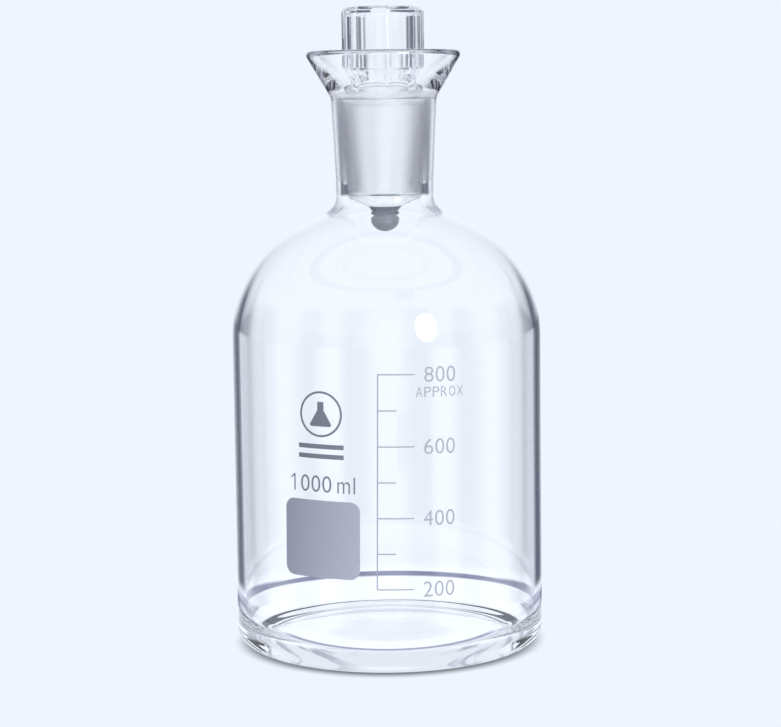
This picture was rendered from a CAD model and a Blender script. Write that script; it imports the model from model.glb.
"""Looks of the reagent bottle: clear blown glass, a ground joint and fired enamel marks.

Everything is in metres with +Z up. The bottle stands on z = 0 with its axis on x = y = 0, and
its printed front looks towards -Y.
"""

import math

import bpy
from mathutils import Matrix, Vector


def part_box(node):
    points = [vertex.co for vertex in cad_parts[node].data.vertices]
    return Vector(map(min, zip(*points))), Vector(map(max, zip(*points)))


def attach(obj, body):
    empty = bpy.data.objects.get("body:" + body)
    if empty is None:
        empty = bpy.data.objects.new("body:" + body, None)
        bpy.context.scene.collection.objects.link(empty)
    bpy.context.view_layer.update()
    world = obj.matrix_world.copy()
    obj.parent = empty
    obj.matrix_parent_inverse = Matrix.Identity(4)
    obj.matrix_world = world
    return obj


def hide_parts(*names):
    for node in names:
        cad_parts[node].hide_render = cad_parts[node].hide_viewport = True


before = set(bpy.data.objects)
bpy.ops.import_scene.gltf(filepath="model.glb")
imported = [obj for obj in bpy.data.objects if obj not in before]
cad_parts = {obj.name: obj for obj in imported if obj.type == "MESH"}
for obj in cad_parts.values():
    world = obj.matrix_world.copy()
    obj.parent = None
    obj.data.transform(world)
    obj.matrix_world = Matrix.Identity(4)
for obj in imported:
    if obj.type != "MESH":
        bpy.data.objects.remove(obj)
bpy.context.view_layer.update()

MM = 0.001

# Sizes read from the frame
BOTTLE_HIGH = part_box("bottle")[1]
TOTAL_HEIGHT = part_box("stopper")[1].z
BODY_RADIUS = BOTTLE_HIGH.x
LIP_TOP_Z = BOTTLE_HIGH.z

# Bottle
BODY_WALL = 2.5 * MM
BASE_THICKNESS = 2.2 * MM
BASE_CORNER_RADIUS = 6.0 * MM
FLOOR_CORNER_RADIUS = 11.2 * MM
STANDING_RING_WIDTH = 2.0 * MM
BASE_PUSH_UP = 0.6 * MM
SHOULDER_RISE = 45.6 * MM           # of the whole quarter ellipse that the shoulder follows
NECK_LENGTH = 35.7 * MM             # top of the shoulder's ellipse to the socket's mouth
NECK_WALL = 3.9 * MM
NECK_FILLET_RADIUS = 6.0 * MM
NECK_FLARE_RADIUS = 9.9 * MM        # inside, where the bore opens into the shoulder
SOCKET_LENGTH = 29.0 * MM
MOUTH_LEDGE = 1.0 * MM
COLLAR_HEIGHT = 14.9 * MM
COLLAR_LIP_RADIUS = 25.95 * MM
COLLAR_ROOT_WALL = 3.2 * MM
COLLAR_LIP_WALL = 2.8 * MM
COLLAR_ROOT_HEIGHT = 1.5 * MM

# Stopper, from the joint down and then up
JOINT_TAPER = 1.0 / 10.0            # change of diameter for each unit of length
JOINT_TOP_RADIUS = 13.9 * MM
JOINT_GAP = 0.15 * MM
CONE_PROUD = 0.3 * MM               # how far the cone stands above the socket's mouth
CONE_LENGTH = 33.5 * MM
CONE_EDGE = 0.5 * MM
POINT_LENGTH = 4.4 * MM             # the steep cone under the ground one
TIP_ROOT_RADIUS = 5.5 * MM
TIP_GROOVE_RADIUS = 4.3 * MM
TIP_GROOVE_DROP = 2.4 * MM
TIP_RADIUS = 4.8 * MM
TIP_SHOULDER_DROP = 4.0 * MM
TIP_END_LENGTH = 4.1 * MM
WAIST_RADIUS = 11.2 * MM
KNOB_SIDES = 8
KNOB_ACROSS_FLATS = 25.8 * MM
KNOB_HEIGHT = 21.6 * MM
KNOB_CHAMFER = 1.3 * MM
KNOB_UNDERCUT_HEIGHT = 2.5 * MM
KNOB_TURN = math.radians(5.7)       # an edge of the knob stands this far right of front
KNOB_EDGE = 0.35 * MM
HOLLOW_ROOF = 2.2 * MM
HOLLOW_HEAD_RADIUS = 10.3 * MM
HOLLOW_WAIST_RADIUS = 8.8 * MM
HOLLOW_WAIST_DROP = 1.8 * MM        # under the knob
HOLLOW_CONE_WALL = 1.2 * MM
HOLLOW_CONE_DROP = 0.5 * MM         # under the top of the ground cone
HOLLOW_FLOOR_RADIUS = 4.4 * MM
HOLLOW_EDGE = 1.2 * MM

# Print
FILM_LIFT = 0.02 * MM
FILM_THICKNESS = 0.04 * MM
PRINT_TILT = math.radians(-0.8)
PRINT_FACET = 1.0 * MM              # marks are cut this narrow before they are wrapped
GRADUATIONS = 7                     # 200 to 800 ml, every 100 ml
GRADUATION_PITCH = 11.62 * MM
GRADUATION_FOOT = 28.75 * MM        # height of the 200 ml line
RULE_LINE = 0.4 * MM
RULE_X = -3.4 * MM
LONG_TICK = 11.9 * MM
SHORT_TICK = 6.05 * MM
NUMERAL_X = 11.6 * MM
NUMERAL_WIDTH = 3.0 * MM
NUMERAL_HEIGHT = 5.0 * MM
NUMERAL_ADVANCE = 3.72 * MM
NOTE = "APPROX"
NOTE_X = 8.8 * MM
NOTE_DROP = 7.3 * MM                # the note's foot under the top line
NOTE_WIDTH = 2.2 * MM
NOTE_HEIGHT = 3.3 * MM
NOTE_ADVANCE = 2.78 * MM
PATCH_WIDTH = 26.8 * MM
PATCH_HEIGHT = 25.4 * MM
PATCH_X = -35.8 * MM
PATCH_FOOT = 31.6 * MM
PATCH_CORNER_RADIUS = 3.3 * MM
CAPACITY_LIFT = 2.7 * MM            # above the patch
CAPACITY_X = -33.55 * MM
DIGIT_WIDTH = 3.2 * MM
DIGIT_ONE_WIDTH = 1.7 * MM
STROKE = 0.5 * MM                   # of the digit one
DIGIT_HEIGHT = 5.4 * MM
DIGIT_ADVANCE = 3.92 * MM
UNIT_M = (17.0 * MM, 4.25 * MM, 3.85 * MM)     # offset, width and height of the m
UNIT_L = (22.4 * MM, 0.55 * MM, 5.4 * MM)      # and of the l
EMBLEM_LIFT = 28.1 * MM             # the ring's middle above the patch
EMBLEM_RADIUS = 7.45 * MM
EMBLEM_LINE = 0.7 * MM
FLASK_HEIGHT = 8.0 * MM
FLASK_WIDTH = 7.6 * MM
FLASK_NECK_WIDTH = 2.2 * MM
BAR_WIDTH = 16.0 * MM
BAR_HEIGHT = 1.5 * MM
BAR_DROP = 10.5 * MM                # the upper bar's middle under the ring's
BAR_STEP = 3.2 * MM
LETTER_THINNING = -0.006            # of a letter's size, taken off round its strokes

# Fineness
ROUND_STEPS = 160
ARC_STEPS = 10
SHOULDER_STEPS = 40
RING_STEPS = 96
WELD = 0.002 * MM

# Glass and enamel
GLASS_IOR = 1.48
GLASS_TINT = (0.75, 0.75, 0.85)
GLASS_DENSITY = 4.0
GROUND_ROUGHNESS = 0.2
GROUND_SOCKET_DEPTH = 0.8 * MM      # the ground mask reaches this far outside the joint's top
GROUND_CONE_DEPTH = 0.5 * MM
BOTTLE_WAVES = (35.0, 0.12)         # scale and height of the waves that drawing leaves
STOPPER_WAVES = (90.0, 0.10)
WAVE_STRETCH = 0.15
ENAMEL_RELIEF = 0.02 * MM

# Stage
BACKDROP_COLOUR = (0.855, 0.913, 1.0)
FLOOR_RADIUS = 0.9
FLOOR_DROP = 0.2 * MM
FLOOR_FADE = (100 * MM, 300 * MM)   # the floor fades into the backdrop between these radii
CONTACT_SHADE = (46.5 * MM, 54.5 * MM)
CONTACT_DARK = 0.22
# what the floor gives to the light that comes through the glass, as radii from the axis
MIDDLE_SHADE = (16 * MM, 26 * MM)
MIDDLE_LEVEL = 0.97
UNDER_LEVEL = 1.2
HEEL_LINE = ((35.8 * MM, 36.6 * MM), (39.5 * MM, 40.0 * MM))
HEEL_LINE_FRONT = (-4 * MM, -20 * MM)
FOOT_BAND = ((39.5 * MM, 40.5 * MM), (49 * MM, 52 * MM))
FOOT_DIMMING = 0.3
STREAK_SCALE = 120.0
STREAK_STRETCH = (0.45, 1.8, 1.0)
STREAK_EDGE = (0.50, 0.62)
STREAK_SIDES = (6 * MM, 22 * MM)
STREAK_DARK = 0.6
TABLE_RING = ((80 * MM, 86 * MM), (98 * MM, 104 * MM))
TABLE_RING_COLOUR = (0.20, 0.215, 0.34)
THROUGH_FADE = (104 * MM, 125 * MM)

# Surround: panels at the back, front and sides, as degrees from a panel's middle to where it
# ends and to where it is full
PANEL_COUNT = 4
LOW_PANELS = (21.0, 3.0)
HIGH_PANELS = (29.0, 12.0)
CORNER_PANELS = (13.0, 5.0)
HIGH_CORNER_LEVEL = 0.05
HIGH_SIDE_LEVEL = 0.5               # of the side panels against the back and front ones
LOW_TO_HIGH = (-0.065, -0.04)       # rise of a ray, as the z of its direction
TABLE_RISE = (-0.27, -0.38)
OPEN_RISE = (0.06, 0.25)
DARK_RISE = (0.3, 0.6)
DARK_CEILING = 0.15
GAP_COLOUR = (0.11, 0.12, 0.17)
GAP_GLANCE_COLOUR = (0.12, 0.125, 0.16)
PANEL_GLANCE_COLOUR = (0.86, 0.88, 1.0)
THROUGH_STRENGTH = 1.08
SOFT_STRENGTH = 0.30
LAMP_AIM = (0, -0.05, 0.112)
LAMP_AZIMUTH = math.radians(30.6)
LAMP_ELEVATION = math.radians(15.8)
LAMP_DISTANCE = 1.2
LAMP_WIDTH = 0.36
LAMP_HEIGHT = 0.56
LAMP_ENERGY = 14

# Camera
CAMERA_PLACE = (0.00123, -0.73445, 0.18539)
CAMERA_PITCH = math.radians(6.969)
CAMERA_ROLL = math.radians(-0.692)
CAMERA_LENS = 99.76
CAMERA_SENSOR = 36
LIGHT_BOUNCES = 32                  # light turns many times inside the thick foot of the glass

# What follows from the sizes above
KNOB_FOOT_Z = TOTAL_HEIGHT - KNOB_HEIGHT
MOUTH_Z = LIP_TOP_Z - COLLAR_HEIGHT
CONE_TOP_Z = MOUTH_Z + CONE_PROUD
CONE_FOOT_Z = CONE_TOP_Z - CONE_LENGTH
SOCKET_FOOT_Z = MOUTH_Z - SOCKET_LENGTH
SHOULDER_Z = MOUTH_Z - NECK_LENGTH - SHOULDER_RISE
TIP_ROOT_Z = CONE_FOOT_Z - POINT_LENGTH
PRINT_PIVOT = Vector((RULE_X, GRADUATION_FOOT + (GRADUATIONS - 1) / 2 * GRADUATION_PITCH))


# ---------------------------------------------------------------- outlines

def joint_radius(z):
    """Radius of the ground cone at a height."""
    return JOINT_TOP_RADIUS - (CONE_TOP_Z - z) * JOINT_TAPER / 2


def arc(centre, radius, start, end, steps=ARC_STEPS):
    """Points along an arc, from one angle in degrees to another."""
    width, height = radius if isinstance(radius, tuple) else (radius, radius)
    points = []
    for step in range(steps + 1):
        angle = math.radians(start + (end - start) * step / steps)
        points.append((centre[0] + width * math.cos(angle), centre[1] + height * math.sin(angle)))
    return points


def shoulder(width, rise, neck, fillet):
    """The shoulder's points from the neck down: a hollow fillet, then a quarter ellipse."""

    def off_the_ellipse(t):
        normal = Vector((rise * math.cos(t), width * math.sin(t))).normalized()
        foot = Vector((width * math.cos(t), SHOULDER_Z + rise * math.sin(t)))
        return foot + fillet * normal, normal

    low, high = 0.0, math.pi / 2
    for _ in range(50):
        middle = (low + high) / 2
        if off_the_ellipse(middle)[0].x > neck + fillet:
            low = middle
        else:
            high = middle
    centre, normal = off_the_ellipse(low)
    turn = math.degrees(math.atan2(normal.y, normal.x))
    hollow = arc(centre, fillet, 180, 180 + turn)
    crown = arc((0, SHOULDER_Z), (width, rise), math.degrees(low), 0, SHOULDER_STEPS)
    return hollow + crown[1:]


def straight(start, end, steps):
    """Points between two ends, leaving out both."""
    a, b = Vector(start), Vector(end)
    return [tuple(a.lerp(b, step / steps)) for step in range(1, steps)]


def bottle_outline():
    """The bottle's section, from the middle of its floor over the lip to under the base."""
    inner_foot = Vector((joint_radius(MOUTH_Z) + JOINT_GAP + MOUTH_LEDGE, MOUTH_Z))
    outer_foot = inner_foot + Vector((COLLAR_ROOT_WALL, 0))
    lip_radius = COLLAR_LIP_WALL / 2
    lip = Vector((COLLAR_LIP_RADIUS - lip_radius, LIP_TOP_Z - lip_radius))
    lean = math.degrees(math.atan2(lip.x - (inner_foot.x + outer_foot.x) / 2, lip.y - MOUTH_Z))
    bore = joint_radius(SOCKET_FOOT_Z) + JOINT_GAP
    neck = bore + NECK_WALL
    neck_top = MOUTH_Z - COLLAR_ROOT_HEIGHT
    cavity = BODY_RADIUS - BODY_WALL
    floor_corner = (cavity - FLOOR_CORNER_RADIUS, BASE_THICKNESS + FLOOR_CORNER_RADIUS)
    base_corner = (BODY_RADIUS - BASE_CORNER_RADIUS, BASE_CORNER_RADIUS)
    ring = base_corner[0] - STANDING_RING_WIDTH
    floor_rim = floor_corner[0]
    rise = BASE_PUSH_UP * (1 - (floor_rim / ring) ** 2)
    steps = (0, 0.25, 0.5, 0.7, 0.85, 0.95)
    inside = [(floor_rim * s, BASE_THICKNESS + rise * (1 - s * s)) for s in steps]
    inside += arc(floor_corner, FLOOR_CORNER_RADIUS, -90, 0, 2 * ARC_STEPS)
    inside += straight(inside[-1], (cavity, SHOULDER_Z), 12)
    inside += shoulder(cavity, SHOULDER_RISE - BODY_WALL, bore, NECK_FLARE_RADIUS)[::-1]
    inside += [(bore, SOCKET_FOOT_Z)]
    inside += [(joint_radius(MOUTH_Z - MOUTH_LEDGE) + JOINT_GAP, MOUTH_Z - MOUTH_LEDGE)]
    inside += [tuple(inner_foot)]
    outside = arc(lip, lip_radius, 180 - lean, -lean, 2 * ARC_STEPS)
    outside += [tuple(outer_foot), (joint_radius(neck_top) + JOINT_GAP + NECK_WALL, neck_top)]
    outside += [(neck, SOCKET_FOOT_Z)]
    outside += shoulder(BODY_RADIUS, SHOULDER_RISE, neck, NECK_FILLET_RADIUS)
    outside += straight((BODY_RADIUS, SHOULDER_Z), (BODY_RADIUS, BASE_CORNER_RADIUS), 12)
    outside += arc(base_corner, BASE_CORNER_RADIUS, 0, -90)
    push_up = [(ring * s, BASE_PUSH_UP * (1 - s * s)) for s in (1, 0.95, 0.85, 0.7, 0.5, 0.25, 0)]
    return inside + outside + push_up


def stopper_outline():
    """The stopper's turned part, from inside its head down to the root of its nib."""
    foot = joint_radius(CONE_FOOT_Z)
    head_z = (KNOB_FOOT_Z + TOTAL_HEIGHT) / 2
    points = [(0, head_z), (WAIST_RADIUS, head_z)]
    points += arc((WAIST_RADIUS + CONE_EDGE, CONE_TOP_Z + CONE_EDGE), CONE_EDGE, 180, 270, 4)
    points += arc((JOINT_TOP_RADIUS - CONE_EDGE, CONE_TOP_Z - CONE_EDGE), CONE_EDGE, 90, 0, 4)
    points += [(foot, CONE_FOOT_Z)]
    points += [(foot - CONE_EDGE, CONE_FOOT_Z - CONE_EDGE), (TIP_ROOT_RADIUS, TIP_ROOT_Z), (0, TIP_ROOT_Z)]
    return points


def nib_outline():
    """The melted nib where the stopper was sealed off: a root, a groove and a round end."""
    tip_z = TIP_ROOT_Z - TIP_SHOULDER_DROP
    groove_z = TIP_ROOT_Z - TIP_GROOVE_DROP
    points = [(0, TIP_ROOT_Z - 0.02 * MM), (TIP_ROOT_RADIUS + 0.1 * MM, TIP_ROOT_Z - 0.02 * MM)]
    points += [(TIP_GROOVE_RADIUS + 0.5 * MM, (TIP_ROOT_Z + groove_z) / 2), (TIP_GROOVE_RADIUS, groove_z)]
    points += [(TIP_GROOVE_RADIUS + 0.3 * MM, (tip_z + groove_z) / 2)]
    points += arc((0, tip_z), (TIP_RADIUS, TIP_END_LENGTH), 0, -90)
    return points


def hollow_outline():
    """The sealed hollow blown in the stopper, from the middle of its roof to its floor."""
    roof = TOTAL_HEIGHT - HOLLOW_ROOF
    top = joint_radius(CONE_TOP_Z) - HOLLOW_CONE_WALL
    foot = joint_radius(CONE_FOOT_Z) - HOLLOW_CONE_WALL
    edge = HOLLOW_EDGE
    points = [(0, roof)]
    points += arc((HOLLOW_HEAD_RADIUS - edge, roof - edge), edge, 90, 0, 6)
    points += [(HOLLOW_HEAD_RADIUS, KNOB_FOOT_Z + 0.8 * MM)]
    points += [
        (HOLLOW_WAIST_RADIUS, KNOB_FOOT_Z - HOLLOW_WAIST_DROP),
        (HOLLOW_WAIST_RADIUS, CONE_TOP_Z - HOLLOW_CONE_DROP),
    ]
    points += arc((top - edge, CONE_TOP_Z - 2.0 * MM - edge), edge, 90, 0, 6)
    points += arc((foot - edge, CONE_FOOT_Z + edge), edge, 0, -60, 6)
    points += [(HOLLOW_FLOOR_RADIUS, TIP_ROOT_Z + 0.5 * MM), (0, TIP_ROOT_Z + 0.2 * MM)]
    return points


# ---------------------------------------------------------------- modelling

def deselect_all():
    bpy.ops.object.select_all(action="DESELECT")


def single_point(name, place):
    """A new piece in edit mode with one point, at that place."""
    deselect_all()
    bpy.ops.mesh.primitive_plane_add(size=MM)
    piece = bpy.context.active_object
    piece.name = name
    bpy.ops.object.mode_set(mode="EDIT")
    bpy.ops.mesh.select_all(action="SELECT")
    bpy.ops.mesh.merge(type="CENTER")
    bpy.ops.transform.translate(value=place)
    return piece


def turned(name, outline):
    """Pulls a section out point by point and spins it round the bottle's axis."""
    piece = single_point(name, (outline[0][0], 0, outline[0][1]))
    for (r, z), (next_r, next_z) in zip(outline, outline[1:]):
        step = (next_r - r, 0, next_z - z)
        bpy.ops.mesh.extrude_region_move(TRANSFORM_OT_translate={"value": step})
    bpy.ops.mesh.select_all(action="SELECT")
    bpy.ops.mesh.spin(steps=ROUND_STEPS, angle=math.tau, center=(0, 0, 0), axis=(0, 0, 1))
    bpy.ops.mesh.select_all(action="SELECT")
    bpy.ops.mesh.remove_doubles(threshold=WELD)
    bpy.ops.mesh.normals_make_consistent(inside=False)
    bpy.ops.object.mode_set(mode="OBJECT")
    return piece


def smooth(piece, angle=30):
    deselect_all()
    piece.select_set(True)
    bpy.context.view_layer.objects.active = piece
    bpy.ops.object.shade_smooth_by_angle(angle=math.radians(angle))


def apply_place(piece):
    deselect_all()
    piece.select_set(True)
    bpy.context.view_layer.objects.active = piece
    bpy.ops.object.transform_apply(location=True, rotation=True, scale=True)


def knob_head():
    """The stopper's eight-sided head with its top chamfer and the flats ground in under it."""
    corner = 1 / math.cos(math.pi / KNOB_SIDES)
    side = KNOB_ACROSS_FLATS / 2 * corner
    slope = (side - WAIST_RADIUS * corner) / KNOB_UNDERCUT_HEIGHT
    buried = WAIST_RADIUS - 1.0 * MM
    drop = (side - buried) / slope
    deselect_all()
    middle = KNOB_FOOT_Z + KNOB_HEIGHT / 2
    turn = KNOB_TURN + math.pi / 2
    bpy.ops.mesh.primitive_cylinder_add(
        vertices=KNOB_SIDES, radius=side, depth=KNOB_HEIGHT, location=(0, 0, middle), rotation=(0, 0, turn)
    )
    head = bpy.context.active_object
    head.name = "knob_head"
    apply_place(head)
    bpy.ops.object.mode_set(mode="EDIT")
    for top in (True, False):
        bpy.ops.mesh.select_all(action="DESELECT")
        bpy.ops.object.mode_set(mode="OBJECT")
        for face in head.data.polygons:
            face.select = face.normal.z > 0.9 if top else face.normal.z < -0.9
        bpy.ops.object.mode_set(mode="EDIT")
        if top:
            ratio = (side - KNOB_CHAMFER * corner) / side
            bpy.ops.mesh.extrude_region_move(TRANSFORM_OT_translate={"value": (0, 0, 0)})
            bpy.ops.transform.resize(value=(ratio, ratio, 1), center_override=(0, 0, TOTAL_HEIGHT))
        else:
            bpy.ops.mesh.extrude_region_move(TRANSFORM_OT_translate={"value": (0, 0, -drop)})
            ratio = buried / side
            bpy.ops.transform.resize(value=(ratio, ratio, 1), center_override=(0, 0, KNOB_FOOT_Z))
    bpy.ops.object.mode_set(mode="OBJECT")
    for vert in head.data.vertices:
        vert.select = abs(vert.co.z - TOTAL_HEIGHT) < 0.01 * MM and vert.co.xy.length > side - 0.01 * MM
    bpy.ops.object.mode_set(mode="EDIT")
    bpy.ops.transform.translate(value=(0, 0, -KNOB_CHAMFER))
    bpy.ops.object.mode_set(mode="OBJECT")
    bevel = head.modifiers.new("edges", "BEVEL")
    bevel.width = KNOB_EDGE
    bevel.segments = 3
    bevel.limit_method = "ANGLE"
    bevel.angle_limit = math.radians(20)
    bpy.ops.object.modifier_apply(modifier="edges")
    return head


def joined(piece, other):
    """A union of two closed pieces, kept in the first."""
    deselect_all()
    bpy.context.view_layer.objects.active = piece
    piece.select_set(True)
    union = piece.modifiers.new("union", "BOOLEAN")
    union.operation = "UNION"
    union.object = other
    bpy.ops.object.modifier_apply(modifier="union")
    bpy.data.objects.remove(other)
    return piece


def hollowed(piece, hollow):
    """Adds a sealed hollow to a closed piece, its faces turned into the glass's free side."""
    deselect_all()
    hollow.select_set(True)
    bpy.context.view_layer.objects.active = hollow
    bpy.ops.object.mode_set(mode="EDIT")
    bpy.ops.mesh.select_all(action="SELECT")
    bpy.ops.mesh.flip_normals()
    bpy.ops.object.mode_set(mode="OBJECT")
    piece.select_set(True)
    bpy.context.view_layer.objects.active = piece
    bpy.ops.object.join()
    return piece


def flat_from(drawing):
    """Turns a filled curve or a letter, drawn at 1 unit to the millimetre, into a flat mesh."""
    deselect_all()
    drawing.select_set(True)
    bpy.context.view_layer.objects.active = drawing
    bpy.ops.object.convert(target="MESH")
    bpy.ops.object.mode_set(mode="EDIT")
    bpy.ops.mesh.select_all(action="SELECT")
    bpy.ops.mesh.remove_doubles(threshold=0.001)
    bpy.ops.object.mode_set(mode="OBJECT")
    return bpy.context.active_object


def flat_shape(*outlines):
    """A flat piece from its outlines in metres, the later ones being holes."""
    curve = bpy.data.curves.new("outline", "CURVE")
    curve.dimensions = "2D"
    curve.fill_mode = "BOTH"
    for points in outlines:
        spline = curve.splines.new("POLY")
        spline.points.add(len(points) - 1)
        spline.use_cyclic_u = True
        for knot, (x, y) in zip(spline.points, points):
            knot.co = (x / MM, y / MM, 0, 1)
    drawing = bpy.data.objects.new("outline", curve)
    bpy.context.scene.collection.objects.link(drawing)
    return flat_from(drawing)


def flat_letter(letter, width, height):
    """One character of the print, its lower left corner at zero."""
    deselect_all()
    bpy.ops.object.text_add()
    drawing = bpy.context.active_object
    drawing.data.body = letter
    drawing.data.size = height / MM
    drawing.data.offset = LETTER_THINNING * drawing.data.size
    drawing.data.resolution_u = 8
    piece = flat_from(drawing)
    corners = [v.co.copy() for v in piece.data.vertices]
    low = Vector([min(co[i] for co in corners) for i in range(3)])
    span = Vector([max(co[i] for co in corners) for i in range(3)]) - low
    for vert in piece.data.vertices:
        vert.co.x = (vert.co.x - low.x) / span.x * width / MM
        vert.co.y = (vert.co.y - low.y) / span.y * height / MM
    return piece


def flat_one(width, height):
    """The digit one: an upright stroke with a short flag."""
    left = width - STROKE
    flag = height - 0.9 * left
    points = [(left, 0), (width, 0), (width, height), (left, height), (0, flag), (0, flag - STROKE)]
    points += [(left, height - 1.3 * STROKE)]
    return flat_shape(points)


def cut_in_strips(piece):
    """Cuts a flat piece by upright lines, so that it can follow the round glass."""
    xs = [v.co.x for v in piece.data.vertices]
    pitch = PRINT_FACET / MM
    bpy.ops.object.mode_set(mode="EDIT")
    for cut in range(math.ceil(min(xs) / pitch), math.ceil(max(xs) / pitch)):
        bpy.ops.mesh.select_all(action="SELECT")
        bpy.ops.mesh.bisect(plane_co=(cut * pitch, 0, 0), plane_no=(1, 0, 0))
    bpy.ops.object.mode_set(mode="OBJECT")


def fired(name, piece, x, z, finish):
    """Lays a flat piece on the glass as a thin film of enamel and puts it in the model."""
    cut_in_strips(piece)
    turn = Matrix.Rotation(PRINT_TILT, 2)
    for vert in piece.data.vertices:
        flat = Vector((x, z)) + Vector(vert.co.xy) * MM - PRINT_PIVOT
        across, height = PRINT_PIVOT + turn @ flat
        angle = across / BODY_RADIUS
        radius = BODY_RADIUS + FILM_LIFT
        vert.co = (radius * math.sin(angle), -radius * math.cos(angle), height)
    thick = piece.modifiers.new("film", "SOLIDIFY")
    thick.thickness = FILM_THICKNESS
    thick.offset = 1.0
    deselect_all()
    piece.select_set(True)
    bpy.context.view_layer.objects.active = piece
    bpy.ops.object.mode_set(mode="EDIT")
    bpy.ops.mesh.select_all(action="SELECT")
    bpy.ops.mesh.normals_make_consistent(inside=False)
    bpy.ops.object.mode_set(mode="OBJECT")
    outwards = sum(face.normal.dot(face.center) * face.area for face in piece.data.polygons)
    if outwards < 0:
        piece.data.flip_normals()
    bpy.ops.object.modifier_apply(modifier="film")
    smooth(piece, 40)
    apply_place(piece)
    finished(piece, name, finish, name, "bottle")
    return piece


def finished(piece, name, finish, node, body):
    """Gives a piece its finish and puts it in the model in place of a CAD node."""
    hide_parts(node)
    piece.name = name + "_look" if name == node else name
    piece.data.materials.clear()
    piece.data.materials.append(finish)
    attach(piece, body)


# ---------------------------------------------------------------- node helpers

def new_material(name):
    made = bpy.data.materials.new(name)
    made.use_nodes = True
    return made, made.node_tree.nodes, made.node_tree.links, made.node_tree.nodes["Principled BSDF"]


def new_group(name, inputs, outputs):
    """An empty node group. Inputs are (name, start value), outputs are names; a colour has 4 values."""
    group = bpy.data.node_groups.new(name, "ShaderNodeTree")
    for label, value in inputs:
        kind = "NodeSocketFloat" if isinstance(value, float) else "NodeSocketColor"
        socket = group.interface.new_socket(label, in_out="INPUT", socket_type=kind)
        socket.default_value = value
    for label in outputs:
        kind = "NodeSocketColor" if label == "Colour" else "NodeSocketFloat"
        group.interface.new_socket(label, in_out="OUTPUT", socket_type=kind)
    start = group.nodes.new("NodeGroupInput")
    end = group.nodes.new("NodeGroupOutput")
    return group, group.nodes, group.links, start, end


def placed(nodes, group, **values):
    """Puts a node group in a material and gives it its values, their names in lower case."""
    node = nodes.new("ShaderNodeGroup")
    node.node_tree = group
    for label, value in values.items():
        node.inputs[label.replace("_", " ").title()].default_value = value
    return node


def feed(links, socket, value):
    """Sets a socket to a number, or links another node's output to it."""
    if isinstance(value, (int, float)):
        socket.default_value = value
    else:
        links.new(value, socket)


def maths(nodes, links, operation, first, second=None, clamp=False):
    node = nodes.new("ShaderNodeMath")
    node.operation = operation
    node.use_clamp = clamp
    feed(links, node.inputs[0], first)
    if second is not None:
        feed(links, node.inputs[1], second)
    return node.outputs[0]


def ramp(nodes, links, value, start, stop, first=0.0, last=1.0, kind="SMOOTHSTEP"):
    """Goes from the first number to the last as the value goes from start to stop."""
    node = nodes.new("ShaderNodeMapRange")
    node.interpolation_type = kind
    numbers = (("From Min", start), ("From Max", stop), ("To Min", first), ("To Max", last))
    for label, number in numbers:
        node.inputs[label].default_value = number
    links.new(value, node.inputs["Value"])
    return node.outputs["Result"]


def band(nodes, links, value, rise, fall):
    """1 between the end of the rise and the start of the fall, and 0 outside both."""
    up = ramp(nodes, links, value, *rise)
    down = ramp(nodes, links, value, *fall, 1.0, 0.0)
    return maths(nodes, links, "MULTIPLY", up, down)


def inverse(nodes, links, value):
    return maths(nodes, links, "SUBTRACT", 1.0, value)


def blend(nodes, links, factor, first, second):
    mix = nodes.new("ShaderNodeMix")
    links.new(factor, mix.inputs["Factor"])
    feed(links, mix.inputs["A"], first)
    feed(links, mix.inputs["B"], second)
    return mix.outputs["Result"]


def blend_colours(nodes, links, factor, first, second):
    mix = nodes.new("ShaderNodeMix")
    mix.data_type = "RGBA"
    links.new(factor, mix.inputs["Factor"])
    mix.inputs[6].default_value = (*first, 1)
    mix.inputs[7].default_value = (*second, 1)
    return mix.outputs[2]


# ---------------------------------------------------------------- materials

def ground_band_group():
    """A mask of the finely ground faces: between two heights and nearer the axis than a limit."""
    inputs = [("Foot", 0.0), ("Top", 0.1), ("Outer Radius", 0.02), ("Edge", 0.6 * MM)]
    group, nodes, links, start, end = new_group("ground_band", inputs, ["Mask"])
    place = nodes.new("ShaderNodeTexCoord")
    split = nodes.new("ShaderNodeSeparateXYZ")
    links.new(place.outputs["Object"], split.inputs[0])
    x, y, z = split.outputs
    xx = maths(nodes, links, "MULTIPLY", x, x)
    yy = maths(nodes, links, "MULTIPLY", y, y)
    radius = maths(nodes, links, "SQRT", maths(nodes, links, "ADD", xx, yy))
    foot, top, outer, edge = (start.outputs[label] for label, _ in inputs)
    above = maths(nodes, links, "DIVIDE", maths(nodes, links, "SUBTRACT", z, foot), edge, True)
    under = maths(nodes, links, "DIVIDE", maths(nodes, links, "SUBTRACT", top, z), edge, True)
    inside = maths(nodes, links, "LESS_THAN", radius, outer)
    mask = maths(nodes, links, "MULTIPLY", maths(nodes, links, "MULTIPLY", above, under), inside)
    links.new(mask, end.inputs["Mask"])
    return group


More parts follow.
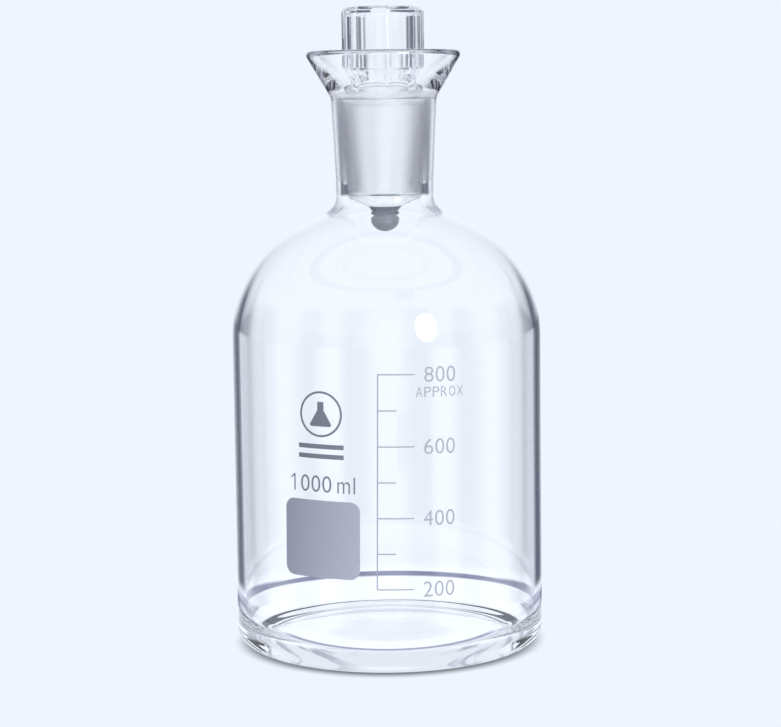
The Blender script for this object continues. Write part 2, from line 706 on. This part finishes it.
def drawn_glass_group():
    """The long shallow waves and faint cords that drawing and blowing leave in glass."""
    inputs = [("Wave Scale", 60.0), ("Stretch", WAVE_STRETCH), ("Amount", 1.0)]
    group, nodes, links, start, end = new_group("drawn_glass", inputs, ["Height"])
    place = nodes.new("ShaderNodeTexCoord")
    stretch = nodes.new("ShaderNodeCombineXYZ")
    stretch.inputs[0].default_value = 1
    stretch.inputs[1].default_value = 1
    links.new(start.outputs["Stretch"], stretch.inputs[2])
    scaled = nodes.new("ShaderNodeVectorMath")
    scaled.operation = "MULTIPLY"
    links.new(place.outputs["Object"], scaled.inputs[0])
    links.new(stretch.outputs[0], scaled.inputs[1])
    noise = nodes.new("ShaderNodeTexNoise")
    noise.inputs["Detail"].default_value = 1.0
    links.new(scaled.outputs[0], noise.inputs["Vector"])
    links.new(start.outputs["Wave Scale"], noise.inputs["Scale"])
    height = maths(nodes, links, "MULTIPLY", noise.outputs["Fac"], start.outputs["Amount"])
    links.new(height, end.inputs["Height"])
    return group


def fired_grain_group():
    """The chalky grain and small uneven spots of fired enamel, as a colour and a height."""
    inputs = [("Base", (0.5, 0.5, 0.5, 1.0)), ("Grain", 2000.0), ("Mottle", 0.05)]
    group, nodes, links, start, end = new_group("fired_grain", inputs, ["Colour", "Height"])
    place = nodes.new("ShaderNodeTexCoord")
    noise = nodes.new("ShaderNodeTexNoise")
    noise.inputs["Detail"].default_value = 4.0
    links.new(place.outputs["Object"], noise.inputs["Vector"])
    links.new(start.outputs["Grain"], noise.inputs["Scale"])
    spots = ramp(nodes, links, noise.outputs["Fac"], 0.3, 0.7, -1.0, 1.0, "LINEAR")
    mottle = maths(nodes, links, "MULTIPLY", spots, start.outputs["Mottle"])
    shade = maths(nodes, links, "ADD", mottle, 1.0)
    tint = nodes.new("ShaderNodeVectorMath")
    tint.operation = "SCALE"
    links.new(start.outputs["Base"], tint.inputs[0])
    links.new(shade, tint.inputs["Scale"])
    links.new(tint.outputs[0], end.inputs["Colour"])
    links.new(noise.outputs["Fac"], end.inputs["Height"])
    return group


def relief(nodes, links, shader, height, strength, distance):
    """Lets a height that changes over the surface raise and dent it."""
    bump = nodes.new("ShaderNodeBump")
    bump.inputs["Strength"].default_value = strength
    bump.inputs["Distance"].default_value = distance
    links.new(height, bump.inputs["Height"])
    links.new(bump.outputs["Normal"], shader.inputs["Normal"])


def glass(name, ground_band, drawn_glass, foot, top, outer_radius, waves):
    """Clear glass, finely ground between two heights inside a radius, with faint waves."""
    made, nodes, links, shader = new_material(name)
    shader.inputs["Base Color"].default_value = (1, 1, 1, 1)
    shader.inputs["Transmission Weight"].default_value = 1.0
    shader.inputs["IOR"].default_value = GLASS_IOR
    shader.inputs["Metallic"].default_value = 0.0
    ground = placed(nodes, ground_band, foot=foot, top=top, outer_radius=outer_radius)
    rough = ramp(nodes, links, ground.outputs["Mask"], 0.0, 1.0, 0.0, GROUND_ROUGHNESS, "LINEAR")
    links.new(rough, shader.inputs["Roughness"])
    wave = placed(nodes, drawn_glass, wave_scale=waves[0], amount=waves[1])
    relief(nodes, links, shader, wave.outputs["Height"], 1.0, 1.0 * MM)
    absorb = nodes.new("ShaderNodeVolumeAbsorption")
    absorb.inputs["Color"].default_value = (*GLASS_TINT, 1)
    absorb.inputs["Density"].default_value = GLASS_DENSITY
    links.new(absorb.outputs[0], nodes["Material Output"].inputs["Volume"])
    return made


def enamel(name, fired_grain, colour, mottle, roughness, grain):
    """Fired enamel, or the dull glass of the nib, which has the same kind of grain."""
    made, nodes, links, shader = new_material(name)
    fired_look = placed(nodes, fired_grain, base=(*colour, 1), grain=grain, mottle=mottle)
    links.new(fired_look.outputs["Colour"], shader.inputs["Base Color"])
    shader.inputs["Roughness"].default_value = roughness
    relief(nodes, links, shader, fired_look.outputs["Height"], 0.3, ENAMEL_RELIEF)
    return made


# ---------------------------------------------------------------- print

def rounded_rectangle(width, height, radius):
    """An outline with its lower left corner at zero."""
    points = arc((width - radius, radius), radius, -90, 0)
    points += arc((width - radius, height - radius), radius, 0, 90)
    points += arc((radius, height - radius), radius, 90, 180)
    points += arc((radius, radius), radius, 180, 270)
    return points


def rule_outline():
    """The scale's stem with a tick at each graduation, the long ones at each even hundred."""
    half = RULE_LINE / 2
    top = (GRADUATIONS - 1) * GRADUATION_PITCH
    points = [(-half, -half), (-half, top + half)]
    for number in reversed(range(GRADUATIONS)):
        z = number * GRADUATION_PITCH
        reach = LONG_TICK if number % 2 == 0 else SHORT_TICK
        points += [(half, z + half), (reach, z + half), (reach, z - half), (half, z - half)]
    points.remove((half, top + half))
    points.remove((half, -half))
    return points


def patch_print(finish):
    """The matt patch that takes a pencil."""
    patch = flat_shape(rounded_rectangle(PATCH_WIDTH, PATCH_HEIGHT, PATCH_CORNER_RADIUS))
    fired("write_on_patch", patch, PATCH_X, PATCH_FOOT, finish)


def scale_print(finish):
    fired("scale_rule", flat_shape(rule_outline()), RULE_X, GRADUATION_FOOT, finish)
    for number in range(0, GRADUATIONS, 2):
        volume = str(200 + 100 * number)
        foot = GRADUATION_FOOT + number * GRADUATION_PITCH - NUMERAL_HEIGHT / 2
        for place, digit in enumerate(volume):
            flat = flat_letter(digit, NUMERAL_WIDTH, NUMERAL_HEIGHT)
            x = NUMERAL_X + place * NUMERAL_ADVANCE
            fired(f"numeral_{volume}_{place + 1}", flat, x, foot, finish)
    foot = GRADUATION_FOOT + (GRADUATIONS - 1) * GRADUATION_PITCH - NOTE_DROP
    for place, letter in enumerate(NOTE):
        flat = flat_letter(letter, NOTE_WIDTH, NOTE_HEIGHT)
        fired(f"scale_note_{place + 1}", flat, NOTE_X + place * NOTE_ADVANCE, foot, finish)


def capacity_print(finish):
    foot = PATCH_FOOT + PATCH_HEIGHT + CAPACITY_LIFT
    for place, digit in enumerate("1000"):
        if digit == "1":
            flat = flat_one(DIGIT_ONE_WIDTH, DIGIT_HEIGHT)
        else:
            flat = flat_letter(digit, DIGIT_WIDTH, DIGIT_HEIGHT)
        fired(f"capacity_{place + 1}", flat, CAPACITY_X + place * DIGIT_ADVANCE, foot, finish)
    for letter, (offset, width, height) in (("m", UNIT_M), ("l", UNIT_L)):
        flat = flat_letter(letter, width, height)
        fired(f"capacity_unit_{letter}", flat, CAPACITY_X + offset, foot, finish)


def emblem_print(finish):
    """A plain flask in a ring over two bars."""
    x = PATCH_X + PATCH_WIDTH / 2
    z = PATCH_FOOT + PATCH_HEIGHT + EMBLEM_LIFT
    rim = arc((0, 0), EMBLEM_RADIUS, 0, 360, RING_STEPS)[:-1]
    hole = arc((0, 0), EMBLEM_RADIUS - EMBLEM_LINE, 0, 360, RING_STEPS)[:-1]
    fired("emblem_ring", flat_shape(rim, hole), x, z, finish)
    foot, top = -FLASK_HEIGHT / 2, FLASK_HEIGHT / 2
    neck, wide = FLASK_NECK_WIDTH / 2, FLASK_WIDTH / 2
    right = [(wide - EMBLEM_LINE / 2, foot), (wide, foot + EMBLEM_LINE), (neck, top / 3), (neck, top)]
    left = [(-r, h) for r, h in reversed(right)]
    fired("emblem_flask", flat_shape(right + left), x, z, finish)
    half, tall = BAR_WIDTH / 2, BAR_HEIGHT / 2
    for place, name in enumerate(("upper", "lower")):
        bar = flat_shape([(-half, -tall), (half, -tall), (half, tall), (-half, tall)])
        fired(f"emblem_bar_{name}", bar, x, z - BAR_DROP - place * BAR_STEP, finish)


# ---------------------------------------------------------------- stage

def floor_finish():
    """Plain pale to the eye; light that comes through the glass meets a few soft shades on it."""
    made, nodes, links, shader = new_material("pale_floor")
    shader.inputs["Base Color"].default_value = (0, 0, 0, 1)
    shader.inputs["Specular IOR Level"].default_value = 0.0
    place = nodes.new("ShaderNodeTexCoord")
    length = nodes.new("ShaderNodeVectorMath")
    length.operation = "LENGTH"
    links.new(place.outputs["Object"], length.inputs[0])
    radius = length.outputs["Value"]
    split = nodes.new("ShaderNodeSeparateXYZ")
    links.new(place.outputs["Object"], split.inputs[0])
    ray = nodes.new("ShaderNodeLightPath")
    seen = ray.outputs["Is Camera Ray"]

    def times(first, second):
        return maths(nodes, links, "MULTIPLY", first, second)

    # the dark edge of the table behind, which shows as an arc over the base
    inner, outer = TABLE_RING
    within = inverse(nodes, links, ramp(nodes, links, radius, *inner))
    pale = maths(nodes, links, "MAXIMUM", within, ramp(nodes, links, radius, *outer))
    # the line where the inside of the floor turns up into the front wall
    front = ramp(nodes, links, split.outputs["Y"], *HEEL_LINE_FRONT)
    line = times(band(nodes, links, radius, *HEEL_LINE), front)
    pale = times(pale, inverse(nodes, links, line))
    # streaks that the heel picks up from under the foot
    drawn = nodes.new("ShaderNodeVectorMath")
    drawn.operation = "MULTIPLY"
    drawn.inputs[1].default_value = STREAK_STRETCH
    links.new(place.outputs["Object"], drawn.inputs[0])
    noise = nodes.new("ShaderNodeTexNoise")
    noise.inputs["Scale"].default_value = STREAK_SCALE
    noise.inputs["Detail"].default_value = 3.0
    links.new(drawn.outputs[0], noise.inputs["Vector"])
    streak = ramp(nodes, links, noise.outputs["Fac"], *STREAK_EDGE)
    side = ramp(nodes, links, maths(nodes, links, "ABSOLUTE", split.outputs["X"]), *STREAK_SIDES)
    foot = band(nodes, links, radius, *FOOT_BAND)
    streaks = times(times(times(streak, side), foot), STREAK_DARK)
    pale = times(pale, inverse(nodes, links, streaks))

    colour_share = maths(nodes, links, "MAXIMUM", pale, seen)
    colour = blend_colours(nodes, links, colour_share, TABLE_RING_COLOUR, BACKDROP_COLOUR)
    links.new(colour, shader.inputs["Emission Color"])
    under = ramp(nodes, links, radius, *MIDDLE_SHADE, MIDDLE_LEVEL, UNDER_LEVEL)
    under = maths(nodes, links, "SUBTRACT", under, times(foot, FOOT_DIMMING))
    contact = ramp(nodes, links, radius, *CONTACT_SHADE, CONTACT_DARK, 1.0)
    links.new(blend(nodes, links, seen, under, contact), shader.inputs["Emission Strength"])
    through_edge = ramp(nodes, links, radius, *THROUGH_FADE, 1.0, 0.0)
    floor_edge = ramp(nodes, links, radius, *FLOOR_FADE, 1.0, 0.0)
    links.new(blend(nodes, links, seen, through_edge, floor_edge), shader.inputs["Alpha"])
    return made


def pale_floor():
    deselect_all()
    bpy.ops.mesh.primitive_circle_add(
        vertices=RING_STEPS, radius=FLOOR_RADIUS, fill_type="NGON", location=(0, 0, -FLOOR_DROP)
    )
    floor = bpy.context.active_object
    floor.name = "floor"
    floor.data.materials.append(floor_finish())


def panel_level(nodes, links, turn, z):
    """How bright the surround is from 0, a gap, to 1, a panel, at a turn and a rise."""
    wave = maths(nodes, links, "COSINE", maths(nodes, links, "MULTIPLY", turn, float(PANEL_COUNT)))

    def panels(sign, edge, full):
        start, stop = (sign * math.cos(math.radians(PANEL_COUNT * angle)) for angle in (edge, full))
        return ramp(nodes, links, wave, start, stop)

    corner = panels(-1, *CORNER_PANELS)
    low_ring = maths(nodes, links, "MAXIMUM", panels(1, *LOW_PANELS), corner)
    high_corner = maths(nodes, links, "MULTIPLY", corner, HIGH_CORNER_LEVEL)
    high_ring = maths(nodes, links, "MAXIMUM", panels(1, *HIGH_PANELS), high_corner)
    front_and_back = maths(nodes, links, "COSINE", maths(nodes, links, "MULTIPLY", turn, 2.0))
    weight = maths(nodes, links, "MULTIPLY", front_and_back, (1 - HIGH_SIDE_LEVEL) / 2)
    weight = maths(nodes, links, "ADD", weight, (1 + HIGH_SIDE_LEVEL) / 2)
    high_ring = maths(nodes, links, "MULTIPLY", high_ring, weight)
    level = blend(nodes, links, ramp(nodes, links, z, *LOW_TO_HIGH), low_ring, high_ring)
    return blend(nodes, links, ramp(nodes, links, z, *TABLE_RISE), level, 1.0)


def background(nodes, links, colour, strength):
    """A plain background of a colour, or of a colour that another node gives."""
    made = nodes.new("ShaderNodeBackground")
    made.inputs["Strength"].default_value = strength
    if isinstance(colour, tuple):
        made.inputs["Color"].default_value = (*colour, 1)
    else:
        links.new(colour, made.inputs["Color"])
    return made.outputs[0]


def surround():
    """A plain pale backdrop to the eye; glass bends and mirrors soft panels with dark gaps."""
    world = bpy.data.worlds.new("studio")
    bpy.context.scene.world = world
    world.use_nodes = True
    nodes, links = world.node_tree.nodes, world.node_tree.links
    nodes.clear()
    end = nodes.new("ShaderNodeOutputWorld")
    place = nodes.new("ShaderNodeTexCoord")
    split = nodes.new("ShaderNodeSeparateXYZ")
    links.new(place.outputs["Generated"], split.inputs[0])
    x, y, z = split.outputs
    level = panel_level(nodes, links, maths(nodes, links, "ARCTAN2", x, y), z)
    open_above = blend(nodes, links, ramp(nodes, links, z, *OPEN_RISE), level, 1.0)
    dark_above = blend(nodes, links, ramp(nodes, links, z, *DARK_RISE), level, DARK_CEILING)
    bent = blend_colours(nodes, links, open_above, GAP_COLOUR, BACKDROP_COLOUR)
    mirrored = blend_colours(nodes, links, dark_above, GAP_GLANCE_COLOUR, PANEL_GLANCE_COLOUR)
    ray = nodes.new("ShaderNodeLightPath")
    shown = background(nodes, links, bent, THROUGH_STRENGTH)
    for kind, colour, strength in (
        ("Is Reflection Ray", mirrored, 1.0),
        ("Is Diffuse Ray", BACKDROP_COLOUR, SOFT_STRENGTH),
        ("Is Camera Ray", BACKDROP_COLOUR, 1.0),
    ):
        mix = nodes.new("ShaderNodeMixShader")
        links.new(ray.outputs[kind], mix.inputs[0])
        links.new(shown, mix.inputs[1])
        links.new(background(nodes, links, colour, strength), mix.inputs[2])
        shown = mix.outputs[0]
    links.new(shown, end.inputs["Surface"])


def soft_lamp():
    """One soft oval lamp at the right of the front. It lights the enamel and shows as a gleam."""
    way = Vector((
        math.sin(LAMP_AZIMUTH) * math.cos(LAMP_ELEVATION),
        -math.cos(LAMP_AZIMUTH) * math.cos(LAMP_ELEVATION),
        math.sin(LAMP_ELEVATION),
    ))
    lamp = bpy.data.lights.new("soft_lamp", "AREA")
    lamp.shape = "ELLIPSE"
    lamp.size = LAMP_WIDTH
    lamp.size_y = LAMP_HEIGHT
    lamp.energy = LAMP_ENERGY
    holder = bpy.data.objects.new("soft_lamp", lamp)
    holder.visible_transmission = False
    holder.location = Vector(LAMP_AIM) + LAMP_DISTANCE * way
    holder.rotation_euler = way.to_track_quat("Z", "Y").to_euler()
    bpy.context.scene.collection.objects.link(holder)


def camera():
    view = bpy.data.cameras.new("camera")
    view.lens = CAMERA_LENS
    view.sensor_width = CAMERA_SENSOR
    view.clip_start = 50 * MM
    holder = bpy.data.objects.new("camera", view)
    turn = Matrix.Rotation(math.pi / 2 - CAMERA_PITCH, 4, "X") @ Matrix.Rotation(CAMERA_ROLL, 4, "Z")
    holder.matrix_world = Matrix.Translation(CAMERA_PLACE) @ turn
    bpy.context.scene.collection.objects.link(holder)
    scene = bpy.context.scene
    scene.camera = holder
    scene.view_settings.view_transform = "Standard"
    scene.cycles.max_bounces = LIGHT_BOUNCES
    scene.cycles.glossy_bounces = LIGHT_BOUNCES
    scene.cycles.transmission_bounces = LIGHT_BOUNCES


# ---------------------------------------------------------------- the bottle and its stopper

def blown_bottle(ground_band, drawn_glass):
    foot, top = SOCKET_FOOT_Z, MOUTH_Z - MOUTH_LEDGE / 2
    outer = JOINT_TOP_RADIUS + JOINT_GAP + GROUND_SOCKET_DEPTH
    finish = glass("bottle_glass", ground_band, drawn_glass, foot, top, outer, BOTTLE_WAVES)
    bottle = turned("bottle_glass", bottle_outline())
    smooth(bottle, 40)
    finished(bottle, "bottle_glass", finish, "bottle", "bottle")


def blown_stopper(ground_band, drawn_glass, nib_finish):
    foot, top, outer = CONE_FOOT_Z, CONE_TOP_Z, JOINT_TOP_RADIUS + GROUND_CONE_DEPTH
    finish = glass("stopper_glass", ground_band, drawn_glass, foot, top, outer, STOPPER_WAVES)
    stopper = joined(turned("stopper_glass", stopper_outline()), knob_head())
    stopper = hollowed(stopper, turned("hollow", hollow_outline()))
    smooth(stopper, 24)
    finished(stopper, "stopper_glass", finish, "stopper", "stopper")
    nib = turned("nib", nib_outline())
    smooth(nib, 40)
    finished(nib, "stopper_nib", nib_finish, "stopper", "stopper")


def main():
    camera()
    surround()
    soft_lamp()
    pale_floor()
    ground_band = ground_band_group()
    drawn_glass = drawn_glass_group()
    fired_grain = fired_grain_group()
    dull_glass = enamel("dull_glass", fired_grain, (0.20, 0.225, 0.27), 0.12, 0.5, 500.0)
    line_enamel = enamel("line_enamel", fired_grain, (0.35, 0.36, 0.42), 0.06, 0.5, 4000.0)
    mark_enamel = enamel("mark_enamel", fired_grain, (0.22, 0.235, 0.29), 0.06, 0.5, 4000.0)
    patch_enamel = enamel("patch_enamel", fired_grain, (0.42, 0.43, 0.52), 0.05, 0.65, 2500.0)
    blown_bottle(ground_band, drawn_glass)
    blown_stopper(ground_band, drawn_glass, dull_glass)
    patch_print(patch_enamel)
    scale_print(line_enamel)
    capacity_print(mark_enamel)
    emblem_print(mark_enamel)


main()
